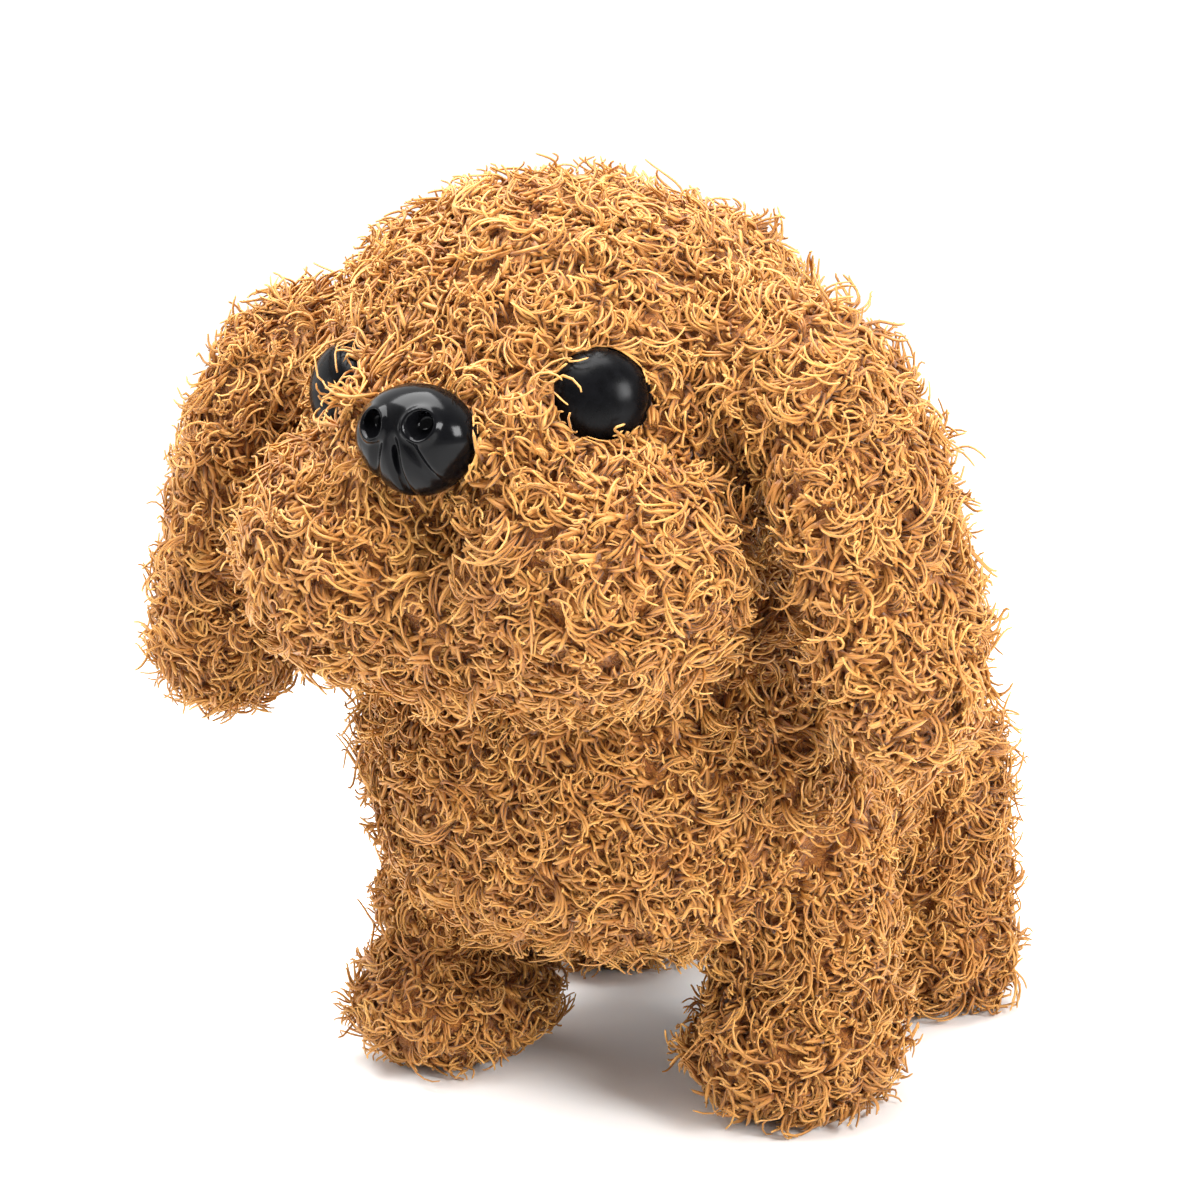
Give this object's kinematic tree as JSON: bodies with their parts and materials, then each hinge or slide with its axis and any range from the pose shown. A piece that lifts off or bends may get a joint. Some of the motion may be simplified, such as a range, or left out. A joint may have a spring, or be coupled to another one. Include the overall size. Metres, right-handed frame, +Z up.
{
  "type": "walking plush puppy",
  "caption": "Curly plush puppy toy with a battery case inside that swings its four legs, wags its tail and twitches its nose; the ears flop.",
  "frame": {"origin": "centre of the bounding box, on the floor plane under the paws", "axes": "+Z up, -Y the way the dog faces, +X its left side"},
  "size_m": [0.1724, 0.1678, 0.17],
  "materials": {
    "plush": "curly golden-tan polyester plush",
    "ear_plush": "curly golden-tan polyester plush, on the ears",
    "gloss_black": "polished black moulding",
    "case_plastic": "fine-grained black ABS",
    "white_plastic": "natural moulded POM and ABS",
    "steel": "nickel-plated steel",
    "brass": "turned brass",
    "circuit": "green circuit board",
    "cell_wrap": "plain blue shrink wrap on a steel can",
    "paper_cone": "thin black film cone"
  },
  "bodies": {
    "chassis": {"battery_tray": "case_plastic", "body_plush": "plush", "case_lower": "case_plastic", "case_upper": "case_plastic", "cell_left": "cell_wrap", "cell_right": "cell_wrap", "circuit_board": "circuit", "contact_plate_back": "steel", "contact_plate_front": "steel", "contact_spring_left": "steel", "contact_spring_right": "steel", "eye_left": "gloss_black", "eye_right": "gloss_black", "eye_washer_left": "white_plastic", "eye_washer_right": "white_plastic", "first_gear_pin": "steel", "gearbox_plate_left": "white_plastic", "gearbox_plate_right": "white_plastic", "head_frame_back": "white_plastic", "head_frame_front": "white_plastic", "head_plush": "plush", "leg_screw_front_left": "steel", "leg_screw_front_right": "steel", "leg_screw_rear_left": "steel", "leg_screw_rear_right": "steel", "motor": "steel", "neck_post": "white_plastic", "nose_pin": "steel", "second_gear_pin": "steel", "speaker": "steel", "speaker_cone": "paper_cone", "switch_body": "steel", "tail_pin": "steel"},
    "leg_front_left": {"leg_lever_front_left": "white_plastic", "leg_plush_front_left": "plush"},
    "leg_front_right": {"leg_lever_front_right": "white_plastic", "leg_plush_front_right": "plush"},
    "leg_rear_left": {"leg_lever_rear_left": "white_plastic", "leg_plush_rear_left": "plush"},
    "leg_rear_right": {"leg_lever_rear_right": "white_plastic", "leg_plush_rear_right": "plush"},
    "link_left": {"side_link_left": "white_plastic"},
    "link_right": {"side_link_right": "white_plastic"},
    "crank": {"crankshaft": "steel", "crank_gear": "white_plastic", "crank_left": "white_plastic", "crank_right": "white_plastic"},
    "pinion": {"motor_pinion": "brass"},
    "reduction_1": {"first_gear": "white_plastic"},
    "reduction_2": {"second_gear": "white_plastic"},
    "tail": {"tail_lever": "white_plastic", "tail_plush": "plush"},
    "nose": {"nose": "gloss_black", "nose_lever": "white_plastic"},
    "pull_rod": {"nose_pull_rod": "steel"},
    "ear_left": {"ear_plush_left": "ear_plush"},
    "ear_right": {"ear_plush_right": "ear_plush"},
    "door": {"battery_door": "case_plastic", "door_screw": "steel"},
    "switch": {"switch_knob": "white_plastic"}
  },
  "joints": [
    {"name": "front_left_leg_swing", "type": "hinge", "parent": "chassis", "child": "leg_front_left", "pos_m": [0, -0.012, 0.05], "axis": [1, 0, 0], "range_deg": [-12, 12]},
    {"name": "rear_left_leg_swing", "type": "hinge", "parent": "chassis", "child": "leg_rear_left", "pos_m": [0, 0.046, 0.05], "axis": [1, 0, 0], "range_deg": [-12, 12]},
    {"name": "front_right_leg_swing", "type": "hinge", "parent": "chassis", "child": "leg_front_right", "pos_m": [0, -0.012, 0.05], "axis": [1, 0, 0], "range_deg": [-12, 12]},
    {"name": "rear_right_leg_swing", "type": "hinge", "parent": "chassis", "child": "leg_rear_right", "pos_m": [0, 0.046, 0.05], "axis": [1, 0, 0], "range_deg": [-12, 12]},
    {"name": "left_link_pivot", "type": "hinge", "parent": "leg_front_left", "child": "link_left", "pos_m": [0, -0.012, 0.064], "axis": [1, 0, 0], "range_deg": [-12, 12]},
    {"name": "right_link_pivot", "type": "hinge", "parent": "leg_front_right", "child": "link_right", "pos_m": [0, -0.012, 0.064], "axis": [1, 0, 0], "range_deg": [-12, 12]},
    {"name": "crank_spin", "type": "hinge", "parent": "chassis", "child": "crank", "pos_m": [0, 0.0232, 0.064], "axis": [1, 0, 0], "continuous": true},
    {"name": "second_gear_spin", "type": "hinge", "parent": "chassis", "child": "reduction_2", "pos_m": [0, 0.0088, 0.064], "axis": [1, 0, 0], "continuous": true},
    {"name": "first_gear_spin", "type": "hinge", "parent": "chassis", "child": "reduction_1", "pos_m": [0, -0.0056, 0.064], "axis": [1, 0, 0], "continuous": true},
    {"name": "pinion_spin", "type": "hinge", "parent": "chassis", "child": "pinion", "pos_m": [0, -0.02, 0.064], "axis": [1, 0, 0], "continuous": true},
    {"name": "tail_wag", "type": "hinge", "parent": "chassis", "child": "tail", "pos_m": [0, 0.057, 0.067], "axis": [0, 0, 1], "range_deg": [-22, 22]},
    {"name": "nose_twitch", "type": "hinge", "parent": "chassis", "child": "nose", "pos_m": [0, -0.046, 0.12], "axis": [-1, 0, 0], "range_deg": [-6, 6]},
    {"name": "pull_rod_slide", "type": "slide", "parent": "chassis", "child": "pull_rod", "axis": [0, 0, 1], "range_m": [-0.0013, 0.0013]},
    {"name": "left_ear_flop", "type": "hinge", "parent": "chassis", "child": "ear_left", "pos_m": [0.037, -0.036, 0.1515], "axis": [0, -1, 0], "range_deg": [0, 40]},
    {"name": "right_ear_flop", "type": "hinge", "parent": "chassis", "child": "ear_right", "pos_m": [-0.037, -0.036, 0.1515], "axis": [0, 1, 0], "range_deg": [0, 40]},
    {"name": "battery_door_hinge", "type": "hinge", "parent": "chassis", "child": "door", "pos_m": [0, -0.0086, 0.0319], "axis": [-1, 0, 0], "range_deg": [0, 60]},
    {"name": "switch_slide", "type": "slide", "parent": "chassis", "child": "switch", "axis": [1, 0, 0], "range_m": [0, 0.004]}
  ],
  "couplings": [
    {"joint": "rear_left_leg_swing", "follows": "front_left_leg_swing", "ratio": 1},
    {"joint": "front_right_leg_swing", "follows": "front_left_leg_swing", "ratio": -1},
    {"joint": "rear_right_leg_swing", "follows": "front_left_leg_swing", "ratio": -1},
    {"joint": "left_link_pivot", "follows": "front_left_leg_swing", "ratio": -1},
    {"joint": "right_link_pivot", "follows": "front_left_leg_swing", "ratio": 1},
    {"joint": "second_gear_spin", "follows": "crank_spin", "ratio": -3.5},
    {"joint": "first_gear_spin", "follows": "crank_spin", "ratio": 12.25},
    {"joint": "pinion_spin", "follows": "crank_spin", "ratio": -42.875},
    {"joint": "nose_twitch", "follows": "tail_wag", "ratio": 0.27273},
    {"joint": "pull_rod_slide", "follows": "tail_wag", "m_per_rad": -0.0032727}
  ]
}
